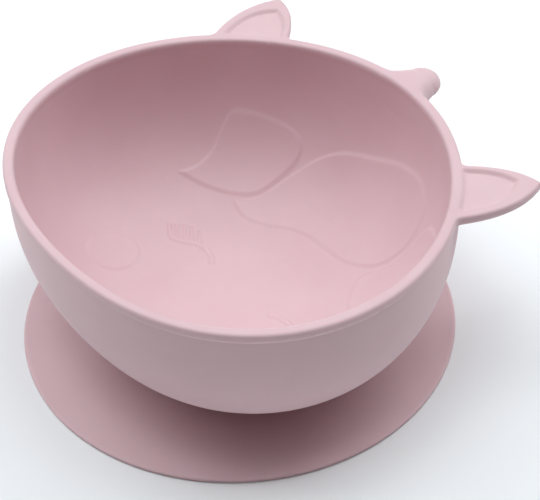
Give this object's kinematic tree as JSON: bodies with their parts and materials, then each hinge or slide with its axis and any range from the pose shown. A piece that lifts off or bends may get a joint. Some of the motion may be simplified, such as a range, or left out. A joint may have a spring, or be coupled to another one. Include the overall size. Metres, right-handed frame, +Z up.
{
  "type": "suction bowl",
  "caption": "Oval baby's bowl in soft silicone, shaped as a unicorn's head with ears, horn and relief face, on a wide suction foot that grips the table.",
  "frame": {"origin": "on the table, under the middle of the object's outline, which runs from the foot's edge below the chin to the horn's tip", "axes": "+Z up from the table, +Y towards the horn, +X towards the right ear seen from above with the horn away from the viewer"},
  "size_m": [0.1232, 0.1258, 0.0528],
  "materials": {
    "silicone": "matte, fine moulded silicone"
  },
  "bodies": {
    "suction_foot": {"sealing_lip": "silicone", "suction_diaphragm": "silicone"},
    "bowl": {"bowl_body": "silicone", "right_ear": "silicone", "left_ear": "silicone", "horn": "silicone", "suction_hub": "silicone"},
    "foot_edge": {"lift_edge": "silicone"}
  },
  "joints": [
    {"name": "press_down", "type": "slide", "parent": "suction_foot", "child": "bowl", "axis": [0, 0, 1], "range_m": [-0.0025, 0], "stiffness_N_per_m": 7000, "springref_m": 0.0005, "deforming": ["suction_diaphragm"]},
    {"name": "edge_lift", "type": "hinge", "parent": "suction_foot", "child": "foot_edge", "pos_m": [0, 0.04757, 0.0019], "axis": [1, 0, 0], "range_deg": [0, 45], "stiffness_Nm_per_rad": 0.01, "springref_deg": -5.73}
  ]
}
